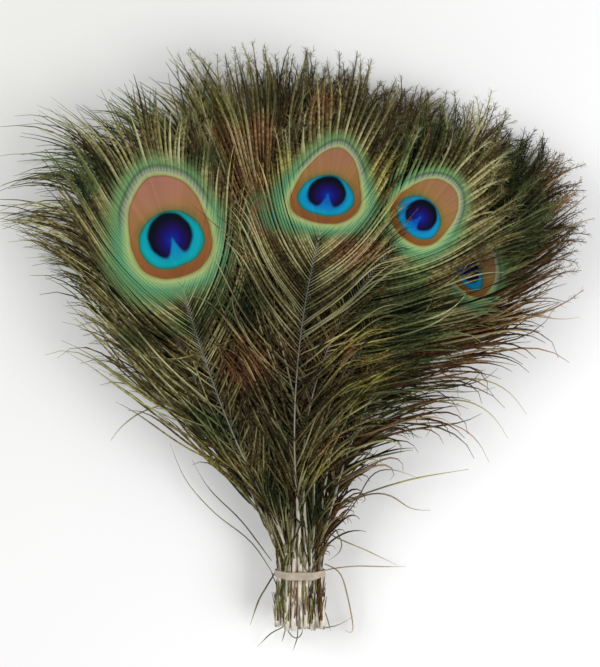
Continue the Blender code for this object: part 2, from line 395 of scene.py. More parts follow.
def grow_barbs(feather, template):
    """Paths, half widths, half heights and random shades of all barbs on both sides of a shaft."""
    draw = np.random.default_rng(feather["number"] + 7)
    along, shaft_x, shaft_y, heading, _ = shaft_course(feather)
    t = np.linspace(0, 1, template["rings"])
    both_sides = []
    for side in (-1, 1):
        back = kept_roots(feather, side, draw)
        n = len(back)
        growth = barb_growth(feather, side, back)
        loose, root = growth["loose"], growth["place"] * MM
        bends = barb_bends(back, growth, draw)
        reach, share = barb_reach(feather, side, back, growth, bends["clump_end"], draw)
        root_heading = np.interp(root, along, heading)
        root_x = np.interp(root, along, shaft_x) - side * ROOT_OVERLAP * np.cos(root_heading)
        root_y = np.interp(root, along, shaft_y) + side * ROOT_OVERLAP * np.sin(root_heading)
        turn = barb_turns(side, back, growth, bends, share, t)
        turn = root_heading[:, None] + side * np.radians(turn)
        step = reach[:, None] * MM / (len(t) - 1)
        x = root_x[:, None] + (np.cumsum(np.sin(turn), 1) - np.sin(turn[:, :1])) * step
        y = root_y[:, None] + (np.cumsum(np.cos(turn), 1) - np.cos(turn[:, :1])) * step
        arch = draw.uniform(0.1, 1.3, n) * loose + draw.uniform(0, 2.2, n) * growth["rough"]
        droop = draw.uniform(-0.6, 1.6, n) * loose
        sway = arch[:, None] * np.sin(np.pi * t) - droop[:, None] * t ** 2
        sway = sway + (draw.uniform(-0.12, 0.12, n) * loose)[:, None]
        z = height_over(feather, x, y) + sway * MM
        closed = closed_share(feather, heading[-1], x - shaft_x[-1], y - shaft_y[-1], t)
        wide = barb_widths(feather, growth, x, y, closed, t, draw)
        both_sides.append((np.stack((x, y, z), -1), wide, wide * (0.36 - 0.3 * closed), draw.random(n)))
    return [np.concatenate(kept) for kept in zip(*both_sides)]


def grow_down(feather):
    """Short scraps of down along the quill above and below the band, most on the outer quills."""
    draw = np.random.default_rng(feather["number"] + 300)
    along, x, y, heading, z = shaft_course(feather)
    n = 6 + round(22 * abs(feather["across"]) / (11 * MM))
    place = np.where(draw.random(n) < 0.55, draw.uniform(-25, -8, n), draw.uniform(2, 20, n)) * MM
    steps = np.linspace(0, 1, DOWN_TEMPLATE["rings"])
    size = draw.uniform(6, 10, n)[:, None] * MM
    side = draw.uniform(-1, 1, n)[:, None]
    turn = np.interp(place, along, heading)[:, None] + np.radians(draw.normal(0, 9, n))[:, None]
    lift = QUILL_RADIUS * np.sqrt(1 - 0.9 * side ** 2) + 0.5 * MM * np.sin(np.pi * steps)
    path = np.stack((
        np.interp(place, along, x)[:, None] + side * QUILL_RADIUS + size * steps * np.sin(turn),
        np.interp(place, along, y)[:, None] + size * steps * np.cos(turn),
        np.interp(place, along, z)[:, None] + lift), -1)
    half = draw.uniform(0.3, 0.7, n)[:, None] * MM * (1 - 0.6 * steps)
    return path, half, draw.uniform(0.3, 0.9, n)


# A few barbs came loose and stick out one by one: number of the feather, height at both ends
# and half width in mm, and the course as x and y in mm from the middle of the band
LOOSE_BARBS = (
    (29, (17, 3), 0.35, ((-13, -1), (-23.5, 16), (-42, 28), (-52, 39), (-58, 45), (-65, 63))),
    (29, (17, 4), 0.4, ((-14, 6), (-29, 26), (-45, 40), (-51.6, 50), (-54, 55))),
    (28, (20, 3), 0.4, ((8, 24), (16, 18), (32.4, 10.6), (48.7, 2))),
    (33, (18, 3), 0.4, ((11, 1), (15, 2), (28, 3), (45, 1.6), (53, 1.5))),
    (28, (20, 8), 0.55, ((12, 28), (22, 35.4), (38.4, 41.4), (57.6, 46.6), (84, 50.4))),
    (20, (20, 6), 0.5, ((12, 27), (28, 37), (36.7, 39.7), (45, 38.4), (50.4, 34.6), (53, 30.3),
        (57.6, 29.8), (65, 29.8))),
    (20, (20, 8), 0.4, ((16, 22), (26, 32), (35.8, 50), (45, 51.4), (57.6, 46.6))),
    (33, (18, 8), 0.35, ((12, 28), (17.8, 20.8), (21.2, 14), (19.5, 8.8), (14, 5))),
    (29, (14, 2), 0.55, ((-11, 2), (-14.7, -4), (-20.8, -14.3), (-25, -28))),
    (33, (14, 2), 0.45, ((12, 4), (20, 1), (23.8, -13.4), (27.3, -32.3), (26, -34), (22.6, -30.6))),
    (30, (6, 2), 0.35, ((-7, -25), (11, -29.3), (19.5, -28), (26.8, -23.7))),
    (30, (6, 2), 0.4, ((-5, -26), (-7.9, -28), (-14.7, -31.4), (-21.2, -38.7))),
    (31, (6, 2), 0.35, ((-7, -25), (-6.2, -31), (-1.9, -35), (1.5, -32.3), (1.1, -26))),
    (31, (6, 2), 0.35, ((-6, -26), (-7.5, -30), (-9.1, -36.6))),
    (31, (4, 2), 0.35, ((-1, -26), (-1.4, -34), (-3.6, -41))),
    (32, (6, 2), 0.35, ((12, -20), (13.5, -24), (15.3, -31))),
    (6, (36, 30), 0.45, ((-52, 86), (-62, 85), (-78, 80), (-88, 72), (-92, 66))),
    (1, (44, 42), 0.4, ((-30, 116), (-60, 104), (-84, 110), (-104, 124), (-112, 134))),
    (3, (46, 47), 0.65, ((6, 136), (22, 148), (38.4, 159.4), (50, 170), (56.6, 178))),
    (3, (46, 47), 0.5, ((8, 134), (24, 145), (38.4, 156), (53.8, 166.6))),
    (3, (46, 47), 0.45, ((-12, 146), (-18.2, 151.2), (-28.3, 159.4), (-40.8, 170.4), (-51.4, 179.5))),
    (13, (34, 30), 0.45, ((70, 118), (92, 124), (112, 127), (128, 124), (136, 126))),
    (28, (26, 14), 0.5, ((40, 80), (62, 92), (88, 97), (104, 90), (112, 78))),
    (28, (26, 12), 0.45, ((38, 74), (60, 84), (82, 86), (96, 78), (103, 66))),
    (33, (24, 10), 0.45, ((36, 66), (56, 74), (76, 74), (88, 66), (94, 54))),
    (4, (44, 43), 0.5, ((14, 92), (24, 112), (40, 122), (62, 128), (78, 126))),
    (3, (46, 44), 0.55, ((12, 60), (22, 84), (40, 100), (60, 108))),
    (3, (46, 44), 0.5, ((4, 54), (18, 70), (36, 78), (52, 76))),
    (4, (44, 42), 0.5, ((8, 48), (20, 72), (30, 92), (34, 108))),
)
FINE_POINTS = 97
BLUR = 15


def smooth_course(spots, points):
    """A soft curve through rough spots, as this many points."""
    spots = np.array(spots) * MM
    chord = np.concatenate(([0], np.cumsum(np.hypot(*np.diff(spots, axis=0).T))))
    fine = np.linspace(0, chord[-1], FINE_POINTS)
    curve = [np.interp(fine, chord, values) for values in spots.T]
    margin = BLUR // 2
    for _ in range(3):
        padded = [np.concatenate((
            2 * values[0] - values[margin:0:-1], values, 2 * values[-1] - values[-2:-margin - 2:-1]))
            for values in curve]
        curve = [np.convolve(values, np.ones(BLUR) / BLUR, "valid") for values in padded]
    share = np.linspace(0, FINE_POINTS - 1, points)
    return np.stack([np.interp(share, np.arange(FINE_POINTS), values) for values in curve], -1)


def lay_loose_barbs(feather, template):
    """Paths and half widths of the barbs that came loose from a feather."""
    paths, widths = [], []
    for number, heights, half, spots in LOOSE_BARBS:
        if number != feather["number"] + 1:
            continue
        share = np.linspace(0, 1, template["rings"])
        level = heights[0] + (heights[1] - heights[0]) * share + 2 * np.sin(np.pi * share)
        course = smooth_course(spots, template["rings"])
        paths.append(np.concatenate((course, level[:, None] * MM), -1))
        widths.append(half * MM * (0.6 + 0.4 * ease(0, 0.2, share)) * (1 - 0.75 * ease(0.6, 1, share)))
    return np.array(paths), np.array(widths)


# Barbules show as a fringe where the tips make the top and right rim of the bunch: how many a
# barb has, and how far out, how high and how far right its tip is in mm
FRINGE_EACH = 42
FRINGE_RIM = 214
FRINGE_LOW = 120
FRINGE_LEFT = -60
FRINGE_HALVES = np.array((0.1, 0.06)) * MM


def grow_fringe(feather, paths, shades):
    """Short barbules to both sides of the barbs whose tips are at the rim."""
    draw = np.random.default_rng(feather["number"] + 900)
    tip_x, tip_y = paths[:, -1, 0] / MM, paths[:, -1, 1] / MM
    at_rim = (np.hypot(1.2 * tip_x, tip_y) > FRINGE_RIM) & (tip_y > FRINGE_LOW) & (tip_x > FRINGE_LEFT)
    stems = np.repeat(paths[at_rim], FRINGE_EACH, axis=0)
    stem_shades = np.repeat(shades[at_rim], FRINGE_EACH)
    n = len(stems)
    spot = (0.64 + 0.345 * draw.random(n) ** 0.8) * (stems.shape[1] - 1)
    first = np.minimum(spot.astype(int), stems.shape[1] - 2)
    share = (spot - first)[:, None]
    rows = np.arange(n)
    root = stems[rows, first] * (1 - share) + stems[rows, first + 1] * share
    ahead = stems[rows, first + 1] - stems[rows, first]
    slant = np.radians(draw.uniform(15, 60, n)) * draw.choice((-1, 1), n)
    turn = np.arctan2(ahead[:, 0], ahead[:, 1]) + slant
    size = draw.uniform(0.8, 3.5, n) * MM
    rise = draw.uniform(-0.3, 0.5, n) * MM
    end = root + np.stack((size * np.sin(turn), size * np.cos(turn), rise), -1)
    half = FRINGE_HALVES * draw.uniform(0.8, 1.2, n)[:, None]
    return np.stack((root, end), 1), half, stem_shades


# Half the width of the whole bunch in mm at some distances from the band, and how far out its
# top rim starts and ends. Barbs at the outline get more painted light than those under the
# others, and the tips at the top right get the most painted shade
BUNCH_HALVES = ((0, 60, 80, 110, 140, 180), (20, 60, 88, 105, 125, 141))
TOP_RIM = (205, 235)
PAINTED_RIM_LIGHT = 1.0
PAINTED_RIM_SHADE = 0.34


def rib_values(laid, template, painted_light):
    """How high each point lies on its rib, and its painted light: painted shade for its depth in the
    bunch, lighter at the outline.
    """
    x, y = laid[..., 0].ravel() / MM, laid[..., 1].ravel() / MM
    crest = np.tile(np.clip((template["up"] + 0.5) / 1.5, 0, 1), len(laid))
    beside = ease(0.8, 1.0, np.abs(x) / np.interp(y, *BUNCH_HALVES))
    rim = np.maximum(beside, ease(*TOP_RIM, np.hypot(1.2 * x, y)))
    # Painted light at the outline of the bunch, with painted shade on the tips at the top right
    painted_rim_light = PAINTED_RIM_LIGHT - PAINTED_RIM_SHADE * ease(-60, 0, x) * ease(120, 160, y)
    return np.stack((crest, painted_light + (painted_rim_light - painted_light) * rim * (painted_light < painted_rim_light)), -1)


def flat_strips(template, copies, low_side, high_side, columns):
    """A place of its own on a flat map for every strand, in rows and columns."""
    copy = np.arange(copies)[:, None]
    row_height = (high_side - low_side) / max(math.ceil(copies / columns), 1)
    along = (copy % columns + 0.03 + 0.94 * template["flat"][:, 0]) / columns
    across = low_side + (copy // columns + 0.06 + 0.84 * template["flat"][:, 1]) * row_height
    return np.stack((along, across), -1).reshape(-1, 2)


def build_feather_mesh(name, parts, painted_light, materials):
    """Join strands into one mesh: the mesh, its points, its corners and the values for its maps.
    Each part is points, template, shades, material and its place on the flat map: low side,
    high side and columns."""
    points, corners, face_sizes, slots, strand, rib, strips = [], [], [], [], [], [], []
    offset = 0
    for laid, template, shades, slot, flat_place in parts:
        copies, size = laid.shape[:2]
        faces = template["faces"]
        one_copy = np.concatenate([np.array(f) for f in faces])
        points.append(laid.reshape(-1, 3))
        corners.append((one_copy[None, :] + np.arange(copies)[:, None] * size + offset).ravel())
        face_sizes.append(np.tile([len(f) for f in faces], copies))
        slots.append(np.full(copies * len(faces), slot))
        share = np.tile(template["ring"] / (template["rings"] - 1), copies)
        strand.append(np.stack((share, np.repeat(shades, size)), -1))
        rib.append(rib_values(laid, template, painted_light))
        strips.append(flat_strips(template, copies, *flat_place))
        offset += copies * size
    points, corners, face_sizes, slots, strand, rib, strips = (
        np.concatenate(values) for values in (points, corners, face_sizes, slots, strand, rib, strips))
    points = points + np.array((BUNCH_X, BUNCH_Y, 0))
    points[:, 2] = np.maximum(points[:, 2], 0.05 * MM)
    mesh = bpy.data.meshes.new(name)
    mesh.vertices.add(len(points))
    mesh.vertices.foreach_set("co", points.ravel())
    mesh.loops.add(len(corners))
    mesh.loops.foreach_set("vertex_index", corners)
    mesh.polygons.add(len(face_sizes))
    mesh.polygons.foreach_set("loop_start", np.concatenate(([0], np.cumsum(face_sizes)[:-1])))
    mesh.polygons.foreach_set("material_index", slots)
    mesh.polygons.foreach_set("use_smooth", slots == SHAFT_SLOT)
    for material in materials:
        mesh.materials.append(material)
    mesh.update(calc_edges=True)
    mesh.validate()
    return mesh, points, corners, strand, rib, strips


# The vane map counts in units of 100 mm from the notch. A full eye has its middle and half its
# height here, in mm
VANE_UNIT = 100
EYE_MIDDLE = 6.6
EYE_HALF_HEIGHT = 27
BARB_SLOT = 0
SHAFT_SLOT = 1


def vane_places(feather, heading, notch, points):
    """Place of each point on its feather's vane, as if every eye were a full one."""
    wide, high, turn, lean, pinch, aside, _ = feather["eye"]
    axis = heading + math.radians(turn)
    right = np.array((math.cos(axis), -math.sin(axis)))
    forward = np.array((math.sin(axis), math.cos(axis)))
    flat = points[:, :2] - notch
    rise = flat @ forward / high
    narrower = 1 - pinch * np.clip((rise / MM - EYE_MIDDLE) / EYE_HALF_HEIGHT, -1, 1)
    across = (flat @ right - aside * MM - lean * rise * high) / (wide * narrower)
    return np.stack((across, rise), -1) / (VANE_UNIT * MM)


def lay_shaft(feather):
    """The shaft as one bent strand that sinks between the barbs under the eye."""
    along, x, y, _, z = shaft_course(feather)
    places = np.linspace(0, len(along) - 1, SHAFT_TEMPLATE["rings"])
    along, x, y, z = (np.interp(places, np.arange(len(along)), values) for values in (along, x, y, z))
    from_band = along / MM
    from_tip = feather["length"] / MM - from_band
    z = z - (0.35 * ease(50, 120, from_band) + 0.6 * ease(45, 25, from_tip)) * MM
    radius = np.interp(along, SHAFT_PLACES, SHAFT_RADII)
    return lay_strands(SHAFT_TEMPLATE, np.stack((x, y, z), -1)[None], radius[None], radius[None])


def add_map(mesh, name, values):
    """Give a mesh a map with two values at each corner."""
    layer = mesh.uv_layers.new(name=name, do_init=False)
    layer.uv.foreach_set("vector", np.asarray(values, np.float32).ravel())


def put_in_scene(name, data):
    """A new object at the origin that shows a mesh, a lamp or a camera."""
    piece = bpy.data.objects.new(name, data)
    bpy.context.scene.collection.objects.link(piece)
    return piece


def make_feather(feather, materials):
    """One whole feather: its shaft with all its barbs, their fringe and the down on its quill."""
    template = UNDER_TEMPLATE if feather["under"] else TOP_TEMPLATE
    paths, widths, heights, shades = grow_barbs(feather, template)
    barbs = lay_strands(template, paths, widths, heights)
    fringe_paths, halves, fringe_shades = grow_fringe(feather, paths, shades)
    fringe = lay_strands(FRINGE_TEMPLATE, fringe_paths, halves, halves * 0.5)
    down_paths, halves, down_shades = grow_down(feather)
    down = lay_strands(DOWN_TEMPLATE, down_paths, halves, halves * 0.5)
    parts = [
        (barbs, template, shades, BARB_SLOT, (0.002, 0.77, 2)),
        (fringe, FRINGE_TEMPLATE, fringe_shades, BARB_SLOT, (0.78, 0.93, 96)),
        (down, DOWN_TEMPLATE, down_shades, BARB_SLOT, (0.935, 0.95, 14)),
        (lay_shaft(feather), SHAFT_TEMPLATE, np.array([0.5]), SHAFT_SLOT, (0.975, 0.998, 1)),
    ]
    loose_paths, halves = lay_loose_barbs(feather, TOP_TEMPLATE)
    if len(loose_paths):
        loose = lay_strands(TOP_TEMPLATE, loose_paths, halves, halves * 0.5)
        loose_shades = np.full(len(loose), 0.95 if feather["under"] else 0.6)
        parts.append((loose, TOP_TEMPLATE, loose_shades, BARB_SLOT, (0.952, 0.972, 2)))
    mesh, points, corners, strand, rib, strips = build_feather_mesh(
        feather["name"], parts, feather["painted_light"], materials)
    _, x, y, heading, _ = shaft_course(feather)
    notch = np.array((x[-1] + BUNCH_X, y[-1] + BUNCH_Y))
    add_map(mesh, "vane", vane_places(feather, heading[-1], notch, points)[corners])
    add_map(mesh, "strand", strand[corners])
    add_map(mesh, "rib", rib[corners])
    add_map(mesh, "plume", np.tile((feather["tone"], feather["eye"][-1]), (len(corners), 1)))
    add_map(mesh, "OFBake", strips)
    piece = put_in_scene(feather["name"] + "_plumage", mesh)
    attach(piece, "root")
    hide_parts(feather["name"])


# ---- Colour of the barbs ----
# Bronze-olive barbs with the eye across them: a copper field in a thin gold ring, a turquoise
# ring, and a notched violet-blue pupil, with a green halo outside. All rings are worked out
# from the place on the vane in mm, counted from the notch where the shaft ends.
def give(tree, sockets, values):
    """Set sockets to numbers or colours, or link them to the sockets their values come from."""
    for socket, value in zip(sockets, values):
        if isinstance(value, (int, float)):
            socket.default_value = value
        elif isinstance(value, tuple):
            socket.default_value = (*value, 1)
        else:
            tree.links.new(value, socket)


def calculator(tree):
    """Arithmetic with nodes: calc("ADD", a, b) gives the result's socket."""
    def calc(operation, *values):
        node = tree.nodes.new("ShaderNodeMath")
        node.operation = operation
        give(tree, node.inputs, values)
        return node.outputs[0]
    return calc


def smooth(tree, value, start, end, course="SMOOTHSTEP"):
    """0 where a value is at start and 1 where it is at end, with a soft or a straight course."""
    node = tree.nodes.new("ShaderNodeMapRange")
    node.interpolation_type = course
    give(tree, node.inputs, (value, start, end))
    return node.outputs["Result"]


def ramp(tree, value, low, high, places, colours):
    """Colour by value: one colour at each place between low and high."""
    node = tree.nodes.new("ShaderNodeValToRGB")
    tree.links.new(smooth(tree, value, low, high, "LINEAR"), node.inputs["Fac"])
    bands = node.color_ramp.elements
    for place in places[1:-1]:
        bands.new((place - low) / (high - low))
    for band, place, colour in zip(bands, places, colours):
        band.position = (place - low) / (high - low)
        band.color = (*colour, 1)
    return node.outputs["Color"]


def mix(tree, share, first, second, kind="MIX"):
    """The first colour where share is 0 and the second where it is 1."""
    node = tree.nodes.new("ShaderNodeMix")
    node.data_type = "RGBA"
    node.blend_type = kind
    give(tree, (node.inputs[0], node.inputs[6], node.inputs[7]), (share, first, second))
    return node.outputs[2]


def two_values(tree, name):
    """The two numbers that a map of the piece holds at a point."""
    where = tree.nodes.new("ShaderNodeUVMap")
    where.uv_map = name
    split = tree.nodes.new("ShaderNodeSeparateXYZ")
    tree.links.new(where.outputs["UV"], split.inputs[0])
    return split.outputs["X"], split.outputs["Y"]


def noise_at(tree, vector, scale, detail=2.0):
    """A noise texture read at a place. A larger scale makes a finer grain."""
    node = tree.nodes.new("ShaderNodeTexNoise")
    node.inputs["Scale"].default_value = scale
    node.inputs["Detail"].default_value = detail
    tree.links.new(vector, node.inputs["Vector"])
    return node


def plain_material(name, roughness):
    """A new material with its tree, shader and calculator, and the place of a point on it."""
    material = bpy.data.materials.new(name)
    material.use_nodes = True
    tree = material.node_tree
    shader = tree.nodes["Principled BSDF"]
    shader.inputs["Roughness"].default_value = roughness
    place = tree.nodes.new("ShaderNodeTexCoord").outputs["Object"]
    return material, tree, shader, calculator(tree), place


barb_finish, tree, shader, calc, place = plain_material("barbs", 0.6)
shader.inputs["Specular IOR Level"].default_value = 0.05
vane_u, vane_v = two_values(tree, "vane")
share_along, shade = two_values(tree, "strand")
tone, blueness = two_values(tree, "plume")
crest, painted_depth_shade = two_values(tree, "rib")
ripple = noise_at(tree, place, 55)
ripple_parts = tree.nodes.new("ShaderNodeSeparateColor")
tree.links.new(ripple.outputs["Color"], ripple_parts.inputs[0])
ripple_u = calc("MULTIPLY_ADD", ripple_parts.outputs[0], 3.0, -1.5)
ripple_v = calc("MULTIPLY_ADD", ripple_parts.outputs[1], 3.0, -1.5)
u = calc("ADD", calc("MULTIPLY", vane_u, VANE_UNIT), ripple_u)
v = calc("ADD", calc("MULTIPLY", vane_v, VANE_UNIT), ripple_v)


def outside_egg(low, high, half, narrow, size, blunt=2.0):
    """How far outside an egg outline, in mm. It goes from low to high and is twice half wide,
    narrower and blunt at the top."""
    middle, rise = (low + high) / 2, (high - low) / 2
    t = calc("DIVIDE", calc("SUBTRACT", v, middle), rise)
    width = calc("MULTIPLY", calc("MULTIPLY_ADD", t, -narrow, 1), half)
    across = calc("DIVIDE", u, width)
    rise_share = calc("POWER", calc("ABSOLUTE", t), blunt)
    share = calc("SQRT", calc("ADD", calc("MULTIPLY", across, across), rise_share))
    return calc("MULTIPLY", calc("SUBTRACT", share, 1), size)


from_gold = outside_egg(-20.3, 33.6, 20.6, 0.2, 21.0, 2.5)
from_turquoise = outside_egg(-13.4, 13.6, 15.9, 0.06, 14.0)
# The pupil has a notch from below, a little right of the middle
notch_half = calc("MULTIPLY_ADD", v, -0.42, 0.2)
into_notch = calc("SUBTRACT", notch_half, calc("ABSOLUTE", calc("SUBTRACT", u, 0.9)))
from_pupil = calc("SMOOTH_MAX", outside_egg(-8.9, 13.2, 11.2, 0.03, 10.5), into_notch, 4.5)


def near_spot(x, y, reach):
    """1 at a spot of the bunch, given in mm from the middle of the band, and 0 out of reach."""
    gap = tree.nodes.new("ShaderNodeVectorMath")
    gap.operation = "DISTANCE"
    tree.links.new(place, gap.inputs[0])
    gap.inputs[1].default_value = (BUNCH_X + x * MM, BUNCH_Y + y * MM, 30 * MM)
    return smooth(tree, gap.outputs["Value"], reach * MM, 0.3 * reach * MM)


# Barbs away from the eye: each has its own shade between dark olive and tan, with flecks
place_on_strand = tree.nodes.new("ShaderNodeCombineXYZ")
tree.links.new(share_along, place_on_strand.inputs["X"])
tree.links.new(calc("MULTIPLY", shade, 37.0), place_on_strand.inputs["Y"])
tree.links.new(calc("MULTIPLY", tone, 11.0), place_on_strand.inputs["Z"])
flecks = noise_at(tree, place_on_strand.outputs[0], 48, 3.0).outputs["Fac"]
patches = noise_at(tree, place, 26, 2.0).outputs["Fac"]
brightness = calc("MULTIPLY_ADD", calc("POWER", shade, 1.6), 0.74, calc("ADD", flecks, -0.16))
bronze = ramp(tree, brightness, 0.2, 1.05, (0.22, 0.45, 0.62, 0.8, 1.02), (
    (0.012, 0.008, 0.003), (0.05, 0.037, 0.013), (0.118, 0.094, 0.034), (0.19, 0.174, 0.068),
    (0.285, 0.28, 0.145)))
rust, moss, gold = (
    ramp(tree, brightness, 0.2, 1.05, (0.22, 0.5, 0.75, 1.02), colours) for colours in (
        ((0.014, 0.007, 0.003), (0.07, 0.032, 0.012), (0.175, 0.094, 0.038), (0.29, 0.215, 0.115)),
        ((0.007, 0.012, 0.004), (0.042, 0.06, 0.02), (0.122, 0.15, 0.052), (0.225, 0.275, 0.1)),
        ((0.014, 0.009, 0.002), (0.07, 0.052, 0.009), (0.195, 0.165, 0.026), (0.37, 0.345, 0.085))))
golden = smooth(tree, noise_at(tree, place, 19, 1.0).outputs["Fac"], 0.54, 0.66)
gold_patch, rust_patch = near_spot(38, 102, 42), near_spot(-12, 100, 40)
gold_barbs = calc("MULTIPLY", gold_patch, smooth(tree, shade, 0.3, 0.5))
golden = calc("MAXIMUM", calc("MULTIPLY", golden, 0.65), gold_barbs)
bronze = mix(tree, calc("MULTIPLY", golden, 0.85), bronze, gold)
towards_rust = calc("ADD", tone, calc("MULTIPLY_ADD", patches, 1.6, -0.8))
towards_rust = calc("MULTIPLY_ADD", rust_patch, 0.4, towards_rust)
rusty = smooth(tree, towards_rust, 0.64, 0.86)
mossy = smooth(tree, towards_rust, 0.38, 0.2)
barb_colour = mix(tree, rusty, bronze, rust)
barb_colour = mix(tree, mossy, barb_colour, moss)
root_share = calc("MULTIPLY", smooth(tree, share_along, 0.04, 0.01), 0.6)
barb_colour = mix(tree, root_share, barb_colour, (0.19, 0.18, 0.155))

# The gold ring and the green halo, which has a greyish edge on its top side
low_halo = ramp(tree, from_gold, -4, 24, (-2.6, -1.9, -1.1, -0.1, 0.9, 3.5, 8, 13, 20), (
    (0.25, 0.09, 0.03), (0.17, 0.085, 0.022), (0.3, 0.33, 0.12), (0.33, 0.41, 0.16),
    (0.16, 0.265, 0.11), (0.066, 0.18, 0.086), (0.066, 0.15, 0.062), (0.085, 0.14, 0.05),
    (0.085, 0.11, 0.04)))
top_halo = ramp(tree, from_gold, -4, 24, (-2.6, -1.9, -1.1, -0.1, 0.7, 2, 3.3, 5, 10, 20), (
    (0.3, 0.12, 0.07), (0.19, 0.1, 0.04), (0.31, 0.33, 0.13), (0.32, 0.38, 0.17), (0.19, 0.205, 0.14),
    (0.122, 0.146, 0.1), (0.042, 0.088, 0.04), (0.09, 0.17, 0.07), (0.086, 0.134, 0.05),
    (0.085, 0.1, 0.04)))
halo = mix(tree, smooth(tree, v, 6, 20), low_halo, top_halo)
# Copper field: rosy at the top, rusty below
copper_field = ramp(tree, v, -22, 34, (-20, -8, 4, 13, 20, 31), (
    (0.205, 0.068, 0.024), (0.25, 0.088, 0.028), (0.275, 0.115, 0.038), (0.31, 0.155, 0.06),
    (0.34, 0.155, 0.088), (0.345, 0.142, 0.108)))
greened = calc("MULTIPLY", smooth(tree, from_turquoise, 4.0, 0.3), smooth(tree, v, 0, 9))
copper_field = mix(tree, blueness, copper_field, (0.88, 0.98, 0.7), "MULTIPLY")
copper = mix(tree, calc("MULTIPLY", greened, 0.7), copper_field, (0.125, 0.14, 0.045))
turquoise, blue_ring = (
    ramp(tree, from_turquoise, -10, 2, (-9, -5, -2.2, -0.8, 0, 0.9), colours) for colours in (
        ((0.002, 0.23, 0.42), (0.002, 0.29, 0.4), (0.002, 0.34, 0.37), (0.004, 0.26, 0.24),
         (0.03, 0.12, 0.06), (0.18, 0.12, 0.04)),
        ((0.002, 0.07, 0.43), (0.002, 0.15, 0.48), (0.003, 0.25, 0.48), (0.004, 0.2, 0.33),
         (0.02, 0.11, 0.1), (0.17, 0.12, 0.05))))
ring = mix(tree, blueness, turquoise, blue_ring)
from_apex = calc("SQRT", calc("ADD", calc("POWER", calc("ADD", u, -0.6), 2.0), calc("POWER", v, 2.0)))
pupil = ramp(tree, from_apex, 0, 12, (0, 1.5, 4.6, 7.6, 10), (
    (0.002, 0.075, 0.4), (0.004, 0.016, 0.23), (0.007, 0.005, 0.125), (0.008, 0.003, 0.04),
    (0.001, 0.003, 0.008)))

wider_left = calc("MULTIPLY", smooth(tree, u, 5, -20), 4.5)
halo_share = smooth(tree, calc("SUBTRACT", from_gold, wider_left), 14.0, 0.5)
eye = mix(tree, halo_share, barb_colour, halo)
eye = mix(tree, smooth(tree, from_gold, -1.7, -2.6), eye, copper)
eye = mix(tree, smooth(tree, from_turquoise, 0.9, 0.0), eye, ring)
eye = mix(tree, smooth(tree, from_pupil, 0.8, -0.9), eye, pupil)
# Fine barbules slant off both sides of the rib. Away from the eye the rib of each barb gets a
# painted highlight over its darker fringe, which is partly its own colour and partly painted
# shade, and some patches get painted shade while the rest get a little painted light
slanted = calc("MULTIPLY_ADD", crest, -9.0, calc("MULTIPLY", share_along, 760.0))
barbules = calc("MULTIPLY_ADD", calc("SINE", slanted), 0.5, 0.5)
calm = smooth(tree, from_gold, 1.6, -0.5)
painted_rib_highlight = calc("MULTIPLY_ADD", calc("POWER", crest, 1.3), 1.27, 0.2)
painted_shade_share = smooth(tree, from_gold, 8, 26)
painted_shade_share = calc("MULTIPLY", smooth(tree, patches, 0.6, 0.36), painted_shade_share)
painted_patch_shade = calc("MULTIPLY_ADD", painted_shade_share, -0.78, 1.26)
painted_loose_light = calc("MULTIPLY", calc("MULTIPLY", painted_rib_highlight, painted_patch_shade),
                   calc("MULTIPLY_ADD", barbules, 0.5, 0.75))
steady_light = calc("ADD", calc("MULTIPLY_ADD", shade, 0.12, 0.72), calc("MULTIPLY", barbules, 0.1))
painted_light = calc("ADD", calc("MULTIPLY", painted_loose_light, calc("SUBTRACT", 1, calm)),
             calc("MULTIPLY", steady_light, calm))
# Painted shade for each barb's depth in the bunch, with painted light at its outline
painted_light = calc("MULTIPLY", painted_light, painted_depth_shade)
# The crowded barbs between the band and the vanes get a little painted shade, as if they lay in each
# other's shade
painted_light = calc("MULTIPLY", painted_light, calc("MULTIPLY_ADD", near_spot(0, 55, 60), -0.2, 1))
# The barb and eye colours are multiplied by all this painted light and shade
lit = tree.nodes.new("ShaderNodeVectorMath")
lit.operation = "SCALE"
tree.links.new(eye, lit.inputs[0])
tree.links.new(painted_light, lit.inputs["Scale"])
tree.links.new(lit.outputs[0], shader.inputs["Base Color"])


# ---- Colour of quills and shafts ----
# Bare keratin, smooth and a little glossy: cream at the cut end under brown scraps of dried
# skin, greyer up the shaft and dark green where it runs into the eye.
shaft_finish, tree, shader, calc, place = plain_material("shaft", 0.38)
share_along, _ = two_values(tree, "strand")
keratin = ramp(tree, share_along, 0, 1, (0, 0.18, 0.32, 0.55, 0.72, 1), (
    (0.66, 0.6, 0.51), (0.56, 0.5, 0.41), (0.3, 0.27, 0.215), (0.155, 0.14, 0.108),
    (0.09, 0.1, 0.062), (0.05, 0.1, 0.045)))
stretched = tree.nodes.new("ShaderNodeMapping")
stretched.inputs["Scale"].default_value = (1.0, 0.22, 1.0)
tree.links.new(place, stretched.inputs["Vector"])
scraps = noise_at(tree, stretched.outputs[0], 520, 4.0).outputs["Fac"]
bare_up = smooth(tree, share_along, 0.42, 0.12)
scrap_share = calc("MULTIPLY", calc("MULTIPLY", smooth(tree, scraps, 0.45, 0.6), bare_up), 0.85)
scrap_tone = noise_at(tree, place, 170, 2.0).outputs["Fac"]
scrap_colour = ramp(tree, scrap_tone, 0.3, 0.7, (0.35, 0.5, 0.65), (
    (0.09, 0.085, 0.03), (0.15, 0.125, 0.085), (0.14, 0.075, 0.035)))
coat = mix(tree, scrap_share, keratin, scrap_colour)
tree.links.new(coat, shader.inputs["Base Color"])

for feather in quills:
    make_feather(feather, (barb_finish, shaft_finish))


